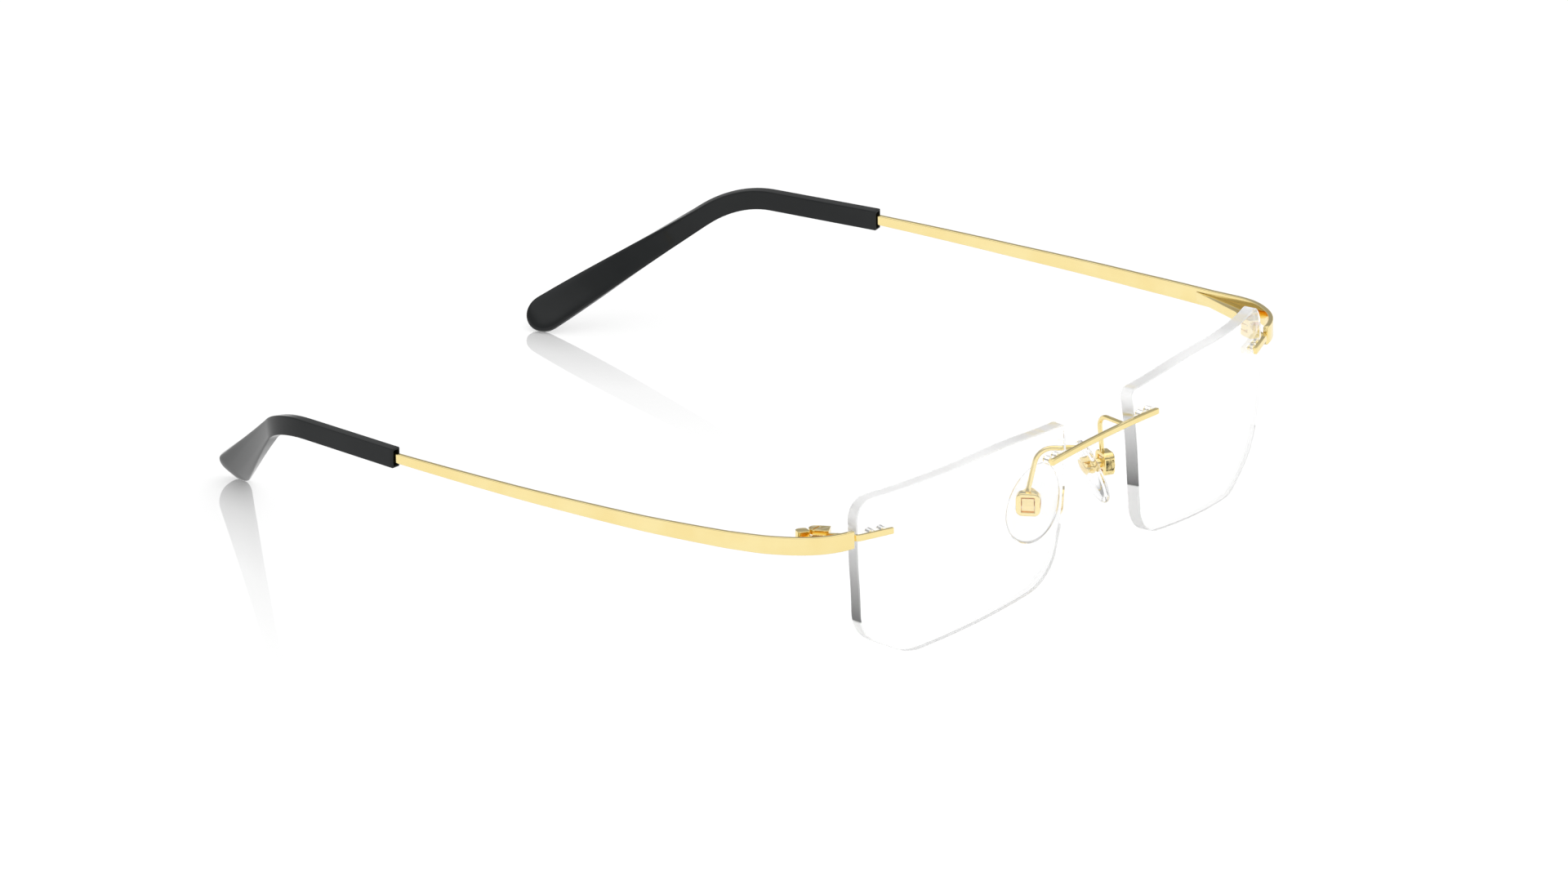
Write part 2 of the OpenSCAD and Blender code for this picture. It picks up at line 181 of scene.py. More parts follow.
class Bend:
    """A leg, a round bend and a second leg through a corner point."""

    def __init__(self, start, corner, end, radius):
        start, corner, end = (np.asarray(p, float) for p in (start, corner, end))
        self.start, self.r = start, radius
        self.d1, self.d2 = unit(corner - start), unit(end - corner)
        self.angle = math.acos(float(self.d1 @ self.d2))
        self.leg = np.linalg.norm(corner - start) - radius * math.tan(self.angle / 2)
        self.arc = radius * self.angle
        self.side = unit(self.d2 - self.d1 * float(self.d1 @ self.d2))

    def at(self, s):
        phi = min(max((s - self.leg) / self.r, 0.0), self.angle)
        before, after = min(s, self.leg), max(s - self.leg - self.arc, 0.0)
        round_part = self.r * (self.d1 * math.sin(phi) + self.side * (1 - math.cos(phi)))
        point = self.start + self.d1 * before + round_part + self.d2 * after
        return point, self.d1 * math.cos(phi) + self.side * math.sin(phi)


def arc_chain(start, heading, arcs, step):
    """Plan points and headings along arcs of (radius, turn), at most step apart."""
    x, y, a = start[0], start[1], heading
    points = [(x, y, a)]
    for radius, turn in arcs:
        n = max(6, math.ceil(radius * math.radians(turn) / step))
        for k in range(1, n + 1):
            b = a + turn * k / n
            dx = radius * (math.sin(math.radians(b)) - math.sin(math.radians(a)))
            dy = radius * (math.cos(math.radians(a)) - math.cos(math.radians(b)))
            points.append((x + dx, y + dy, b))
        x, y, a = points[-1]
    return points


def lens_front(x, z):
    """The point on a lens front at x, z from the lens middle."""
    return lens_place(np.array([[x, lens_sag(x, z, LENS_R), z]]))[0]


def lens_sag(x, z, radius):
    """How far back a lens surface of that radius lies at x, z."""
    return LENS_R - LENS_APEX - np.sqrt(radius * radius - x * x - z * z)


def lens_turn():
    """The tilt of a lens about X and then its wrap about Z, as one matrix."""
    t, w = math.radians(LENS_TILT), math.radians(LENS_WRAP)
    tilt = np.array([[1, 0, 0], [0, math.cos(t), -math.sin(t)], [0, math.sin(t), math.cos(t)]])
    wrap = np.array([[math.cos(w), -math.sin(w), 0], [math.sin(w), math.cos(w), 0], [0, 0, 1]])
    return wrap @ tilt


def lens_place(points):
    """Points in the lens's own frame, moved to the working frame."""
    return points @ lens_turn().T + LENS_AT


def lens_local(points):
    """Points in the working frame, moved to the lens's own frame."""
    return (points - LENS_AT) @ lens_turn()


inner_fix = lens_front(*INNER_FIX)
outer_fix = lens_front(*OUTER_FIX)
outer_turn = LENS_WRAP + math.degrees(math.asin(OUTER_FIX[0] / LENS_R))
bar_back = inner_fix[1] - SEAT - PLUG_T - GAP
bar_z = inner_fix[2]
MID_Y = bar_back - BAR_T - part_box("bridge_bar")[0].y / MM


# ---- mesh helpers ----
def place(points, side=1):
    """Working-frame points in mm to the row frame in m; side -1 mirrors to the wearer's right."""
    points = np.asarray(points, float).reshape(-1, 3)
    return np.stack([side * points[:, 0], points[:, 1] - MID_Y, points[:, 2]], axis=1) * MM


def add_piece(name, points, faces, material, body, node, slot, side=1, sharp=32):
    """A mesh piece from working-frame points, riding on body and standing for a CAD node."""
    mesh = bpy.data.meshes.new(name)
    if side < 0:
        faces = [tuple(reversed(f)) for f in faces]
    mesh.from_pydata(place(points, side).tolist(), [], [tuple(int(i) for i in f) for f in faces])
    mesh.validate()
    piece = bpy.data.objects.new(name, mesh)
    bpy.context.scene.collection.objects.link(piece)
    dress(piece, material, body, node)
    shade(mesh, sharp)
    return piece


def dress(piece, material, body, node):
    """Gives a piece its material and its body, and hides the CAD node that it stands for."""
    piece.data.materials.clear()
    piece.data.materials.append(material)
    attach(piece, body)
    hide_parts(node)


def shade(mesh, sharp):
    """Smooth shading, with a crease along each edge that turns by more than sharp degrees."""
    bm = bmesh.new()
    bm.from_mesh(mesh)
    bmesh.ops.recalc_face_normals(bm, faces=bm.faces)
    for f in bm.faces:
        f.smooth = True
    for e in bm.edges:
        e.smooth = len(e.link_faces) == 2 and e.calc_face_angle(0) < math.radians(sharp)
    bm.to_mesh(mesh)
    bm.free()


def skin(rings, cap_start=True, cap_end=True):
    """Points and faces of a sweep through rings of equal length."""
    n = len(rings[0])
    points = np.concatenate(rings)
    faces = []
    for k in range(len(rings) - 1):
        for i in range(n):
            j = (i + 1) % n
            faces.append((k * n + i, (k + 1) * n + i, (k + 1) * n + j, k * n + j))
    if cap_start:
        faces.append(tuple(range(n)))
    if cap_end:
        faces.append(tuple(reversed(range(len(points) - n, len(points)))))
    return points, faces


def merged(parts):
    """Several (points, faces) as one."""
    points, faces, start = [], [], 0
    for p, f in parts:
        points.append(np.asarray(p, float))
        faces += [tuple(i + start for i in face) for face in f]
        start += len(p)
    return np.concatenate(points), faces


def superellipse(w, h, power, n):
    """An outline w by h: an ellipse at power 2, closer to a rectangle at higher powers."""
    a = (np.arange(n) + 0.5) * 2 * math.pi / n
    x, y = (np.sign(c) * np.abs(c) ** (2 / power) for c in (np.cos(a), np.sin(a)))
    return np.stack([w / 2 * x, h / 2 * y], axis=1)


def round_rect(w, h, r, steps=5):
    """A rectangle w by h with round corners."""
    points = []
    for k, (sx, sy) in enumerate([(1, 1), (-1, 1), (-1, -1), (1, -1)]):
        for i in range(steps + 1):
            a = math.pi / 2 * (k + i / steps)
            x, y = sx * (w / 2 - r), sy * (h / 2 - r)
            points.append((x + r * math.cos(a), y + r * math.sin(a)))
    return np.array(points)


def ring(centre, along, up, outline, twist=0.0):
    """An outline set across a path at centre, upright towards up and turned by twist."""
    across = unit(np.cross(along, up))
    rise = np.cross(across, along)
    a = math.radians(-twist)
    x = outline[:, 0] * math.cos(a) - outline[:, 1] * math.sin(a)
    y = outline[:, 0] * math.sin(a) + outline[:, 1] * math.cos(a)
    return centre + x[:, None] * across + y[:, None] * rise


def pin(base, along, d, length, n=24):
    """A round pin from base with a domed free end."""
    r = d / 2
    stations = [(0, r), (length - 0.6 * r, r)]
    stations += [(length - 0.6 * r * (1 - math.sin(a)), r * math.cos(a)) for a in (0.4, 0.8, 1.15, 1.45)]
    circle = superellipse(2, 2, 2, n)
    return skin([ring(base + along * s, along, UP, circle * q) for s, q in stations])


def from_cad(name, node, material, body, bevel, segments=2, sharp=32):
    """A copy of a CAD node's solid with its true edges rounded off."""
    piece = bpy.data.objects.new(name, frame["nodes"][node].data.copy())
    bpy.context.scene.collection.objects.link(piece)
    mesh = piece.data
    mesh.name = name
    bm = bmesh.new()
    bm.from_mesh(mesh)
    bmesh.ops.remove_doubles(bm, verts=bm.verts, dist=1e-6)
    bmesh.ops.dissolve_limit(bm, angle_limit=math.radians(0.6), verts=bm.verts, edges=bm.edges)
    limit = math.radians(sharp)
    edges = [e for e in bm.edges if len(e.link_faces) == 2 and e.calc_face_angle(0) > limit]
    rounding = {"offset": bevel * MM, "offset_type": "OFFSET", "segments": segments, "profile": 0.6}
    bmesh.ops.bevel(bm, geom=edges, affect="EDGES", clamp_overlap=False, **rounding)
    bm.to_mesh(mesh)
    bm.free()
    if mesh.has_custom_normals:
        mesh.attributes.remove(mesh.attributes["custom_normal"])
    dress(piece, material, body, node)
    shade(mesh, sharp)
    return piece


# ---- materials ----
class Shader:
    """A material with one Principled node and helpers that add texture nodes to it."""

    def __init__(self, name):
        self.material = bpy.data.materials.new(name)
        self.material.use_nodes = True
        self.nodes = self.material.node_tree.nodes
        self.links = self.material.node_tree.links
        self.out = self.nodes["Principled BSDF"]
        self.where = self.nodes.new("ShaderNodeTexCoord").outputs["Object"]

    def set(self, **values):
        """Plain values on the shader's own sockets."""
        for key, value in values.items():
            self.out.inputs[key.replace("_", " ").title().replace("Ior", "IOR")].default_value = value
        return self

    def scaled(self, scale):
        """The object's own coordinates, stretched."""
        node = self.nodes.new("ShaderNodeMapping")
        node.inputs["Scale"].default_value = scale
        self.links.new(self.where, node.inputs["Vector"])
        return node.outputs[0]

    def noise(self, scale, detail=3.0, stretch=(1, 1, 1)):
        node = self.nodes.new("ShaderNodeTexNoise")
        node.inputs["Scale"].default_value = scale
        node.inputs["Detail"].default_value = detail
        self.links.new(self.scaled(stretch), node.inputs["Vector"])
        return node.outputs["Fac"]

    def ramp(self, value, stops):
        """A colour that goes by value: stops of (value, colour)."""
        node = self.nodes.new("ShaderNodeValToRGB")
        elements = node.color_ramp.elements
        while len(elements) < len(stops):
            elements.new(0.5)
        for element, (at, colour) in zip(elements, stops):
            element.position = at
            element.color = (*colour, 1)
        self.links.new(value, node.inputs["Fac"])
        return node.outputs["Color"]

    def remap(self, value, low, high, start=0.3, end=0.7):
        """From low at start to high at end, and level beyond them."""
        node = self.nodes.new("ShaderNodeMapRange")
        for key, v in zip(("From Min", "From Max", "To Min", "To Max"), (start, end, low, high)):
            node.inputs[key].default_value = v
        self.links.new(value, node.inputs["Value"])
        return node.outputs["Result"]

    def bump(self, height, strength, distance):
        node = self.nodes.new("ShaderNodeBump")
        node.inputs["Strength"].default_value = strength
        node.inputs["Distance"].default_value = distance
        self.links.new(height, node.inputs["Height"])
        self.links.new(node.outputs["Normal"], self.out.inputs["Normal"])

    def math(self, operation, first, second):
        """One operation on two values, each a number or another node's output."""
        node = self.nodes.new("ShaderNodeMath")
        node.operation = operation
        for socket, value in zip(node.inputs, (first, second)):
            if isinstance(value, (int, float)):
                socket.default_value = value
            else:
                self.links.new(value, socket)
        return node.outputs[0]

    def place(self, axis):
        """One coordinate of a point, for a piece whose origin is the frame's."""
        node = self.nodes.new("ShaderNodeSeparateXYZ")
        self.links.new(self.where, node.inputs[0])
        return node.outputs[axis]

    def behind(self):
        """1 on the inner side of a surface, 0 on its outer side."""
        return self.nodes.new("ShaderNodeNewGeometry").outputs["Backfacing"]

    def mixed(self, share, first, second):
        """From the first colour at share 0 to the second, a plain one, at share 1."""
        node = self.nodes.new("ShaderNodeMix")
        node.data_type = "RGBA"
        colours = [i for i in node.inputs if i.type == "RGBA"]
        self.links.new(share, node.inputs[0])
        self.links.new(first, colours[0])
        colours[1].default_value = (*second, 1)
        return [o for o in node.outputs if o.type == "RGBA"][0]

    def feed(self, socket, value):
        self.links.new(value, self.out.inputs[socket])


def gold_material(name, shade_low, shade_high, rough_low, rough_high):
    """Polished gold plate with faint drawing marks along the metal."""
    m = Shader(name).set(metallic=1.0)
    marks = m.noise(900.0, 4.0, (1, 0.12, 1))
    m.feed("Base Color", m.ramp(m.noise(160.0), [(0.35, shade_low), (0.65, shade_high)]))
    m.feed("Roughness", m.remap(marks, rough_low, rough_high))
    m.bump(marks, 0.04, 0.00002)
    return m.material


def glass_material(name, tint_low, tint_high, ior, rough_low, rough_high):
    """Clear moulded plastic with a trace of tint that comes and goes."""
    m = Shader(name).set(transmission_weight=1.0, ior=ior)
    m.feed("Base Color", m.ramp(m.noise(60.0), [(0.3, tint_low), (0.7, tint_high)]))
    m.feed("Roughness", m.remap(m.noise(240.0), rough_low, rough_high))
    return m.material


def edge_material():
    """The rim of a lens: clear from inside, and from outside a painted reflection, grey above a matt foot,
    darkest beside it.

    The height goes from 0 to 1 over RIM_TOP. Near the nose the painted greys are pressed together towards
    the top, so that the foot is taller there.
    """
    m = Shader("lens_edge_painted_reflection").set(transmission_weight=1.0, ior=1.5)
    press = m.remap(m.math("ABSOLUTE", m.place("X"), 0.0), RIM_PRESS, 1.0, *RIM_PRESS_X)
    down = m.math("MULTIPLY", m.remap(m.place("Z"), 1.0, 0.0, 0.0, RIM_TOP), press)
    height = m.math("SUBTRACT", 1.0, down)
    # painted reflection: greys that stand in for the surroundings mirrored in the rim, shown from outside
    # only
    outside = m.ramp(height, [(at, (v, v, v)) for at, v in RIM_PAINTED_REFLECTION])
    m.feed("Base Color", m.mixed(m.behind(), outside, (1.0, 1.0, 1.0)))
    foot = m.remap(height, 0.6, 0.0, 0.23, 0.25)
    m.feed("Roughness", m.math("MAXIMUM", foot, m.remap(m.behind(), 0.3, 0.0, 0.0, 1.0)))
    m.bump(m.noise(700.0, 2.0, (1, 0.1, 1)), 0.03, 0.00002)
    return m.material


def tip_material():
    """Black acetate, polished, with a soft mottle under the gloss."""
    m = Shader("black_acetate").set(ior=1.28)
    mottle = m.noise(120.0, 5.0, (1, 0.35, 1))
    m.feed("Base Color", m.ramp(mottle, [(0.35, (0.018, 0.0195, 0.020)), (0.7, (0.025, 0.027, 0.0275))]))
    m.feed("Roughness", m.remap(m.noise(500.0), 0.04, 0.1))
    m.bump(m.noise(260.0, 2.0), 0.05, 0.00005)
    return m.material


GOLD = gold_material("gold_plate", (0.96, 0.78, 0.36), (0.98, 0.82, 0.41), 0.06, 0.14)
SCREW = gold_material("screw_gold", (0.93, 0.75, 0.37), (0.97, 0.8, 0.43), 0.1, 0.2)
LENS = glass_material("lens_plastic", (0.992, 0.997, 0.995), (1.0, 1.0, 1.0), 1.5, 0.0, 0.004)
EDGE = edge_material()
PLUG = glass_material("plug_plastic", (0.985, 0.99, 0.985), (1.0, 1.0, 0.995), 1.06, 0.0, 0.03)
PAD = glass_material("pad_silicone", (0.975, 0.98, 0.98), (1.0, 1.0, 1.0), 1.41, 0.0, 0.05)
TIP = tip_material()


# ---- lenses ----
def lens_outline(inset):
    """The lens outline with its corners rounded by arcs, moved inwards by inset."""
    corners = np.array([c[:2] for c in LENS_CORNERS], float)
    n = len(corners)
    points, normals = [], []
    for i in range(n):
        a, v, b, r = corners[i - 1], corners[i], corners[(i + 1) % n], LENS_CORNERS[i][2]
        d1, d2 = unit(v - a), unit(b - v)
        turn = math.acos(float(d1 @ d2))
        left = 1 if d1[0] * d2[1] - d1[1] * d2[0] > 0 else -1
        start = v - d1 * r * math.tan(turn / 2)
        centre = start + left * r * np.array([-d1[1], d1[0]])
        steps = max(8, math.ceil(r * turn / 0.5))
        for k in range(steps + 1):
            p = turned(*(start - centre), math.degrees(left * turn * k / steps))
            points.append(centre + p)
            normals.append(unit(p) * -left)
    points, normals = np.array(points), np.array(normals)
    return dense(points - normals * inset, 1.0)


def dense(points, step):
    """A closed outline with its long stretches divided evenly."""
    out = []
    for p, q in zip(points, np.roll(points, -1, axis=0)):
        n = max(1, math.ceil(np.linalg.norm(q - p) / step))
        out += [p + (q - p) * k / n for k in range(n)]
    return np.array(out)


def hole_loops(radius, n=28):
    """The rims of the four drilled holes on a surface of that radius, in the lens's own frame."""
    loops = []
    sphere = np.array([0, LENS_R - LENS_APEX, 0])
    for fix, turn in ((inner_fix, 0.0), (outer_fix, outer_turn)):
        x_axis = np.array([*turned(1, 0, turn), 0])
        y_axis = np.array([*turned(0, 1, turn), 0])
        for side in (-1, 1):
            a = np.arange(n) * 2 * math.pi / n
            rim = fix + x_axis * side * PIN_GAP / 2
            rim = rim + HOLE_D / 2 * (np.cos(a)[:, None] * x_axis + np.sin(a)[:, None] * UP)
            rim = lens_local(rim)
            along = lens_local(LENS_AT + y_axis)
            to = rim - sphere
            b = to @ along
            c = (to * to).sum(1) - radius * radius
            loops.append(rim + (-b - np.sqrt(b * b - c))[:, None] * along)
    return loops


def lens_face(outline, radius):
    """One lens surface in the lens's own frame: points, triangles, and rims as lists of indices."""
    holes = hole_loops(radius)
    loops = [outline] + [h[:, [0, 2]] for h in holes]
    flat = np.concatenate(loops)
    edges, rims, start = [], [], 0
    for loop in loops:
        rims.append(list(range(start, start + len(loop))))
        edges += [(start + k, start + (k + 1) % len(loop)) for k in range(len(loop))]
        start += len(loop)
    spacing = 1.1
    low, high = outline.min(0), outline.max(0)
    inner = []
    for row, z in enumerate(np.arange(low[1], high[1], spacing)):
        for x in np.arange(low[0] + (row % 2) * spacing / 2, high[0], spacing):
            p = np.array([x, z])
            clear = np.linalg.norm(outline - p, axis=1).min() > 0.6 * spacing
            clear = clear and all(np.linalg.norm(l - p, axis=1).min() > 0.45 for l in loops[1:])
            if clear and inside(outline, p) and not any(inside(l, p) for l in loops[1:]):
                inner.append(p)
    flat = np.concatenate([flat, np.array(inner)])
    points, _, faces, _, _, _ = delaunay_2d_cdt([Vector(p) for p in flat], edges, [], 0, 1e-7)
    flat = np.array([tuple(p) for p in points])
    kept = []
    for f in faces:
        middle = flat[list(f)].mean(0)
        if inside(outline, middle) and not any(inside(l, middle) for l in loops[1:]):
            kept.append(tuple(f))
    y = lens_sag(flat[:, 0], flat[:, 1], radius)
    return np.stack([flat[:, 0], y, flat[:, 1]], axis=1), kept, rims


def inside(loop, p):
    """True if the point is inside the closed outline."""
    a, b = loop, np.roll(loop, -1, axis=0)
    across = (a[:, 1] > p[1]) != (b[:, 1] > p[1])
    a, b = a[across], b[across]
    x = a[:, 0] + (p[1] - a[:, 1]) * (b[:, 0] - a[:, 0]) / (b[:, 1] - a[:, 1])
    return bool((x > p[0]).sum() % 2)


def lens_mesh():
    """A lens with spherical faces, drilled holes and a safety bevel; its last faces are the rim's."""
    small, full = lens_outline(LENS_BEVEL), lens_outline(0)
    assert len(small) == len(full)
    parts, rims, start = [], [], 0
    for radius, flip in ((LENS_R, False), (LENS_R - LENS_T, True)):
        points, faces, loops = lens_face(small, radius)
        parts.append((points, [tuple(reversed(f)) for f in faces] if flip else faces))
        rims.append([[i + start for i in loop] for loop in loops])
        start += len(points)
    walls = []
    for radius, push in ((LENS_R, LENS_BEVEL), (LENS_R - LENS_T, -LENS_BEVEL)):
        y = lens_sag(full[:, 0], full[:, 1], radius) + push
        parts.append((np.stack([full[:, 0], y, full[:, 1]], axis=1), []))
        walls.append(list(range(start, start + len(full))))
        start += len(full)
    points, faces = merged(parts)

    def join(a, b):
        for k in range(len(a)):
            m = (k + 1) % len(a)
            faces.append((a[k], a[m], b[m], b[k]))

    for front, back in zip(rims[0][1:], rims[1][1:]):
        join(front, back)
    join(rims[0][0], walls[0])
    join(walls[0], walls[1])
    join(walls[1], rims[1][0])
    return lens_place(points), faces, 3 * len(full)


# ---- bridge and nose pads ----
def bar_mesh():
    """The bridge bar, a gentle arch with softened edges, and its four mounting pins."""
    radius = (BAR_L / 2) ** 2 / 2 / BAR_RISE
    centre_y = bar_back - BAR_T / 2
    half = math.asin(BAR_L / 2 / radius)
    soft = 0.12
    rings = []
    step = soft / (BAR_L / 2)
    stations = [(-1.0, soft), (-1.0 + 0.3 * step, 0.3 * soft), (-1.0 + step, 0.0)]
    stations += [(k / 24, 0.0) for k in range(-23, 24)]
    stations += [(-share, shrink) for share, shrink in reversed(stations[:3])]
    for share, shrink in stations:
        a = share * half
        rise = BAR_RISE - radius * (1 - math.cos(a))
        centre = np.array([radius * math.sin(a), centre_y, bar_z + rise])
        along = np.array([math.cos(a), 0, -math.sin(a)])
        outline = round_rect(BAR_T - 2 * shrink, BAR_H - 2 * shrink, 0.2)
        rings.append(ring(centre, along, UP, outline))
    parts = [skin(rings)]
    for side in (-1, 1):
        for hand in (-1, 1):
            base = np.array([side * inner_fix[0] + hand * PIN_GAP / 2, bar_back - 0.2, bar_z])
            parts.append(pin(base, np.array([0, 1.0, 0]), PIN_D, LENS_T + 1.0))
    return merged(parts)


def arm_mesh():
    """A nose pad wire, soldered flat to the back of the bar and to the top of the pad box."""
    path = Bend([6.9, bar_back + GAP, bar_z], [9.8, -2.3, bar_z - 0.6], [11.72, -1.54, 18.45], 3.4)
    bent = path.leg + path.arc
    drop = path.at(bent)[0][2] - BOX_AT[2] - BOX_W / 2 - GAP
    length = bent - drop / path.d2[2]
    stations = [(0.3, 1.06), (0.5, 1.0)] + [(path.leg * k / 4, 1.0) for k in range(1, 4)]
    stations += [(path.leg + path.arc * k / 20, 1.0) for k in range(21)]
    stations += [(bent + 2, 1.0), (length - 0.55, 1.0), (length - 0.35, 1.06)]
    circle = superellipse(WIRE_D, WIRE_D, 2, 24)
    side = np.array([1, -0.3, 0])
    rings = [ring(path.at(0)[0], np.array([0, 1.0, 0]), side, circle * 1.3)]
    rings.append(ring(path.at(0.12)[0], np.array([0, 1.0, 0]), side, circle * 1.15))
    rings += [ring(*path.at(s), side, circle * swell) for s, swell in stations]
    rings.append(ring(path.at(length)[0], np.array([0, 0, -1.0]), side, circle * 1.25))
    return skin(rings)


def about(axis, degrees, points):
    """Points turned about a coordinate axis: 0, 1 or 2 for X, Y or Z."""
    out = np.array(points, float)
    i, j = (axis + 1) % 3, (axis + 2) % 3
    c, s = math.cos(math.radians(degrees)), math.sin(math.radians(degrees))
    out[:, i], out[:, j] = points[:, i] * c - points[:, j] * s, points[:, i] * s + points[:, j] * c
    return out


def pad_place(points):
    """Points in the pad's own frame, +X towards the nose, moved to the working frame."""
    points = about(0, PAD_ROLL, np.asarray(points, float)) + [-PAD_T / 2, PAD_FRONT, 0]
    points = about(1, PAD_LEAN, points) + [PAD_X, 0, 0]
    return about(2, PAD_TURN, points) + BOX_AT


def pad_mesh():
    """A moulded nose pad: egg-shaped, domed on the nose side, with a soft rim."""
    around, rows, widest = 64, [], PAD_WIDEST
    for k in range(1, 15):
        a = math.pi / 2 * k / 14
        share = math.sin(a)
        rows.append((share, widest + (PAD_T - widest) * max(1 - share**2.6, 0) ** (1 / 2.2)))
    for k in range(1, 12):
        a = math.pi / 2 * (1 - k / 12)
        share = 0.35 + 0.65 * math.sin(a) if k < 11 else 0.3
        rows.append((share, widest - widest * max(1 - share**5, 0) ** (1 / 3)))
    points = [(PAD_T, 0, -PAD_DROP)]
    for share, x in rows:
        for i in range(around):
            a = 2 * math.pi * i / around
            y = share * PAD_W / 2 * math.cos(a) * (1 - 0.12 * math.sin(a))
            points.append((x, y, share * PAD_H / 2 * math.sin(a) - PAD_DROP))
    points.append((0, 0, -PAD_DROP))
    last = len(points) - 1
    faces = []
    for i in range(around):
        j = (i + 1) % around
        faces.append((0, 1 + i, 1 + j))
        for k in range(len(rows) - 1):
            a, b = 1 + k * around, 1 + (k + 1) * around
            faces.append((a + i, b + i, b + j, a + j))
        end = 1 + (len(rows) - 1) * around
        faces.append((end + j, end + i, last))
    return pad_place(points), faces


# ---- temples ----
strip_points = arc_chain(STRIP_START, STRIP_HEADING, STRIP_ARCS, 3.0)
strip_end = strip_points[-1]
STRIP_Z = [(0, 24.3), (8, 24.2), (18, 23.65), (34, 23.3), (60, 23.22), (strip_end[1], 23.42)]
tip_path = Bend([strip_end[0], strip_end[1], 23.42], [68.5, 115.2, 23.5], [46.4, 140, 2.96], TIP_BEND_R)
TIP_H = [(0, 3.54), (20, 3.45), (34, 3.4), (42, 4), (50, 4.8), (TIP_L - TIP_ROUND, 6.6)]
TIP_POWER = [(0, 15), (34, 10), (TIP_L - TIP_ROUND, 3.6), (TIP_L, 3.6)]
TIP_TWIST = [(30, 0), (TIP_L - TIP_ROUND, 45)]


def tail_h(s):
    """Height of the strip's tail inside the tip, s from the mouth."""
    return lookup(s, [(0, STRIP_H[1]), (TAIL_L, 1.1)])


def strip_mesh():
    """The temple strip: square-cut in front, thinning towards the tip, with softened edges."""
    soft, rings = 0.07, []
    corner = 0.14
    for k, (x, y, heading) in enumerate(strip_points):
        along = np.array([*turned(1, 0, heading), 0])
        height = lookup(y, [(12, STRIP_H[0]), (strip_end[1], STRIP_H[1])])
        centre = np.array([x, y, lookup(y, STRIP_Z)])
        if k == 0:
            inset = round_rect(STRIP_T - 2 * soft, height - 2 * soft, corner - soft / 2)
            rings.append(ring(centre, along, UP, inset))
            inset = round_rect(STRIP_T - 0.6 * soft, height - 0.6 * soft, corner)
            rings.append(ring(centre + along * 0.3 * soft, along, UP, inset))
            centre = centre + along * soft
        rings.append(ring(centre, along, UP, round_rect(STRIP_T, height, corner)))
    for s in np.linspace(0, TAIL_L, 37)[1:]:
        centre, along = tip_path.at(s)
        outline = round_rect(STRIP_T, tail_h(s), corner)
        rings.append(ring(centre, along, UP, outline, lookup(s, TIP_TWIST)))
    return skin(rings)


def tip_mesh():
    """The black tip: a square sleeve that bends down and widens into a rounded blade, with a bored mouth."""
    n, soft = 72, 0.16

    def section(s, outline, twist=None):
        centre, along = tip_path.at(s)
        return ring(centre, along, UP, outline, lookup(s, TIP_TWIST) if twist is None else twist)

    room = 0.12
    bore_marks = np.linspace(TAIL_L, 1.4, 40)
    rings = [section(s, superellipse(STRIP_T + room, tail_h(s) + room, 16, n)) for s in bore_marks]
    rings += [section(1.4, superellipse(1.33, 2.86, 7, n)), section(0.12, superellipse(1.35, 2.9, 7, n))]
    rings.append(section(0, superellipse(1.45, 3.0, 7, n)))
    marks = [0.0, 0.3 * soft, soft] + list(np.arange(0.9, TIP_L - TIP_ROUND - 0.5, 0.9))
    turns = (0, 8, 16, 24, 32, 40, 48, 56, 63, 69, 74, 78, 82, 85, 87.5)
    marks += [TIP_L - TIP_ROUND * (1 - math.sin(math.radians(a))) for a in turns]
    for s in marks:
        over = max(s - TIP_L + TIP_ROUND, 0) / TIP_ROUND
        height = lookup(s, TIP_H) * math.sqrt(max(1 - over**2, 0))
        width = TIP_T * math.sqrt(max(1 - over**4, 0.02))
        shrink = soft * (1 - math.sqrt(1 - (1 - min(s / soft, 1)) ** 2))
        outline = superellipse(width - 2 * shrink, height - 2 * shrink, lookup(s, TIP_POWER), n)
        rings.append(section(s, outline))
    return skin(rings)


# ---- the pieces ----
for side, hand in ((1, "left"), (-1, "right")):
    temple, pad_body = f"{hand}_temple", f"{hand}_nose_pad"
    points, faces, rim_faces = lens_mesh()
    lens = add_piece(f"{hand}_lens", points, faces, LENS, "root", f"lens_{hand}", "lens", side, 20)
    # the rim faces take the material with the painted reflection
    lens.data.materials.append(EDGE)
    for face in list(lens.data.polygons)[-rim_faces:]:
        face.material_index = 1
    add_piece(f"{hand}_pad_wire", *arm_mesh(), GOLD, "root", f"pad_arm_{hand}", "gold", side)
    pad = add_piece(f"{hand}_pad", *pad_mesh(), PAD, pad_body, f"nose_pad_{hand}", "pad", side, 60)
    add_piece(f"{hand}_strip", *strip_mesh(), GOLD, temple, f"temple_strip_{hand}", "gold", side)
    tip = add_piece(f"{hand}_tip", *tip_mesh(), TIP, temple, f"temple_tip_{hand}", "tip", side, 50)
    from_cad(f"{hand}_pad_frame", f"pad_box_{hand}", GOLD, "root", 0.28, 4)
    from_cad(f"{hand}_pad_screw", f"pad_screw_{hand}", SCREW, "root", 0.04)
    from_cad(f"{hand}_pad_core", f"pad_core_{hand}", SCREW, pad_body, 0.05)
    from_cad(f"{hand}_end_piece", f"end_piece_{hand}", GOLD, "root", 0.07)
    from_cad(f"{hand}_hinge_screw", f"hinge_screw_{hand}", SCREW, "root", 0.04)
    from_cad(f"{hand}_hinge_leaf", f"hinge_leaf_{hand}", GOLD, temple, 0.08)
    from_cad(f"{hand}_hinge_washers", f"hinge_washers_{hand}", PLUG, "root", 0.02)
    plugs = [
        from_cad(f"{hand}_bridge_plug", f"bridge_plug_{hand}", PLUG, "root", 0.03),
        from_cad(f"{hand}_end_plug", f"end_plug_{hand}", PLUG, "root", 0.03),
    ]
    for clear in (lens, *plugs):
        clear.visible_diffuse = False
        clear.visible_shadow = False
add_piece("bridge", *bar_mesh(), GOLD, "root", "bridge_bar", "gold")


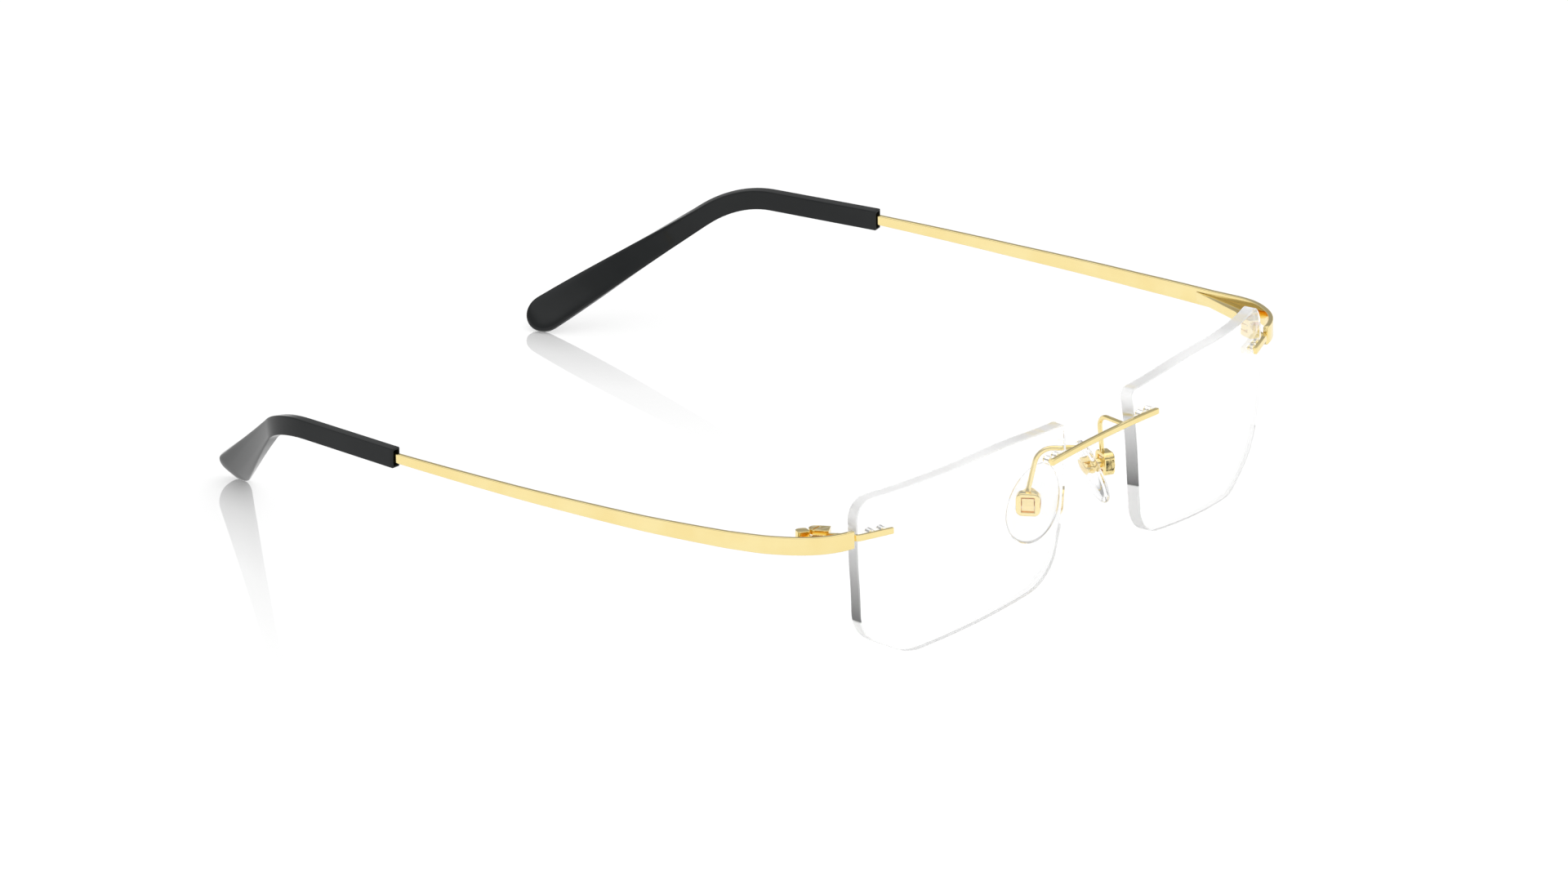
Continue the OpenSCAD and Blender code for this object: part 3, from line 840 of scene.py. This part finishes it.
# ---- table, light and camera ----
def plane(name, half, z, material):
    """A level square that isn't part of the object."""
    mesh = bpy.data.meshes.new(name)
    corners = [(-half, -half, z), (half, -half, z), (half, half, z), (-half, half, z)]
    mesh.from_pydata(corners, [], [(0, 1, 2, 3)])
    mesh.materials.append(material)
    obj = bpy.data.objects.new(name, mesh)
    bpy.context.scene.collection.objects.link(obj)
    return obj


def table_material(share, albedo):
    """A white table top: matt, with a transparent share through which the glowing mirrored copies of the
    tips below show as a painted reflection.
    """
    m = bpy.data.materials.new("table")
    m.use_nodes = True
    nodes, links = m.node_tree.nodes, m.node_tree.links
    nodes.clear()
    matt = nodes.new("ShaderNodeBsdfDiffuse")
    matt.inputs["Color"].default_value = (albedo, albedo, albedo, 1)
    through = nodes.new("ShaderNodeBsdfTransparent")
    mix = nodes.new("ShaderNodeMixShader")
    mix.inputs["Fac"].default_value = share
    out = nodes.new("ShaderNodeOutputMaterial")
    links.new(matt.outputs[0], mix.inputs[1])
    links.new(through.outputs[0], mix.inputs[2])
    links.new(mix.outputs[0], out.inputs["Surface"])
    return m


def glow_material(name, stops=None):
    """Plain white light, or a grey that goes by height for the painted reflection: stops of (depth share,
    brightness).
    """
    m = bpy.data.materials.new(name)
    m.use_nodes = True
    nodes, links = m.node_tree.nodes, m.node_tree.links
    nodes.clear()
    glow = nodes.new("ShaderNodeEmission")
    glow.inputs["Strength"].default_value = GLOW
    out = nodes.new("ShaderNodeOutputMaterial")
    links.new(glow.outputs[0], out.inputs["Surface"])
    if stops:
        where = nodes.new("ShaderNodeTexCoord")
        split = nodes.new("ShaderNodeSeparateXYZ")
        depth = nodes.new("ShaderNodeMath")
        depth.operation = "MULTIPLY"
        depth.inputs[1].default_value = -1 / cad_high.z
        ramp = nodes.new("ShaderNodeValToRGB")
        while len(ramp.color_ramp.elements) < len(stops):
            ramp.color_ramp.elements.new(0.5)
        for element, (at, value) in zip(ramp.color_ramp.elements, stops):
            element.position = at
            element.color = (value, value, value, 1)
        links.new(where.outputs["Object"], split.inputs[0])
        links.new(split.outputs["Z"], depth.inputs[0])
        links.new(depth.outputs[0], ramp.inputs["Fac"])
        links.new(ramp.outputs["Color"], glow.inputs["Color"])
    return m


def only_seen(obj):
    """Shown to the camera, straight or through the lenses, and to nothing else."""
    obj.visible_diffuse = obj.visible_glossy = obj.visible_shadow = False


TABLE_HALF = 12.0
GLOW = 1.33
table = plane("table", TABLE_HALF, 0.0, table_material(share=0.5, albedo=0.85))
table.visible_glossy = False
below = plane("table_glow", TABLE_HALF, -0.1, glow_material("white_glow"))
only_seen(below)
# Painted reflection: glowing mirrored copies of the tips below the table top, fading with their depth
PAINTED_REFLECTION_FADE = [(0.0, 0.38), (0.12, 0.62), (0.35, 0.86), (0.75, 0.97), (1.0, 1.0)]
fade = glow_material("painted_reflection_fade", PAINTED_REFLECTION_FADE)
for hand in ("left", "right"):
    mesh = bpy.data.objects[f"{hand}_tip"].data.copy()
    mesh.materials.clear()
    mesh.materials.append(fade)
    for v in mesh.vertices:
        v.co.z = -v.co.z
    mesh.flip_normals()
    painted_reflection_copy = bpy.data.objects.new(f"{hand}_tip_painted_reflection", mesh)
    bpy.context.scene.collection.objects.link(painted_reflection_copy)
    painted_reflection_copy.parent = frame["bodies"][f"{hand}_temple"]
    only_seen(painted_reflection_copy)

world = bpy.data.worlds.new("studio")
bpy.context.scene.world = world
world.use_nodes = True
nodes, links = world.node_tree.nodes, world.node_tree.links
direction = nodes.new("ShaderNodeTexCoord")
split = nodes.new("ShaderNodeSeparateXYZ")
links.new(direction.outputs["Generated"], split.inputs[0])
height = nodes.new("ShaderNodeMapRange")
height.inputs["From Min"].default_value = -1.0
height.inputs["From Max"].default_value = 1.0
links.new(split.outputs["Z"], height.inputs["Value"])
sky = nodes.new("ShaderNodeValToRGB")
# Sine of the elevation from -1 to 1, as a share from 0 to 1, and the brightness there
SKY = [
    (0.0, 0.85),
    (0.3, 1.0),
    (0.5, 1.0),
    (0.545, 0.7),
    (0.6, 0.42),
    (0.7, 0.36),
    (0.78, 0.5),
    (0.86, 1.15),
    (1.0, 1.3),
]
SKY_PEAK = SKY[-1][1]
elements = sky.color_ramp.elements
while len(elements) < len(SKY):
    elements.new(0.5)
for element, (at, value) in zip(elements, SKY):
    element.position = at
    element.color = (value / SKY_PEAK,) * 3 + (1,)
links.new(height.outputs["Result"], sky.inputs["Fac"])
background = nodes["Background"]
links.new(sky.outputs["Color"], background.inputs["Color"])
background.inputs["Strength"].default_value = SKY_PEAK

AZIMUTH, ELEVATION = math.radians(-54.8), math.radians(20.4)
VIEW_WIDTH = 0.2701
LOOK_AT = Vector(place([[0, 57.2, 11.26]])[0])
level = math.cos(ELEVATION)
back = Vector((math.sin(AZIMUTH) * level, -math.cos(AZIMUTH) * level, math.sin(ELEVATION)))
camera = bpy.data.objects.new("camera", bpy.data.cameras.new("camera"))
bpy.context.scene.collection.objects.link(camera)
camera.data.type = "ORTHO"
camera.data.ortho_scale = VIEW_WIDTH
camera.data.clip_end = 30.0
camera.location = LOOK_AT + back * 0.6
camera.rotation_mode = "QUATERNION"
camera.rotation_quaternion = (-back).to_track_quat("-Z", "Y")
bpy.context.scene.camera = camera
bpy.context.scene.view_settings.view_transform = "Standard"
# Light takes many turns inside a lens edge before it comes out.
cycles = bpy.context.scene.cycles
cycles.max_bounces = 40
cycles.glossy_bounces = 32
cycles.transmission_bounces = 32
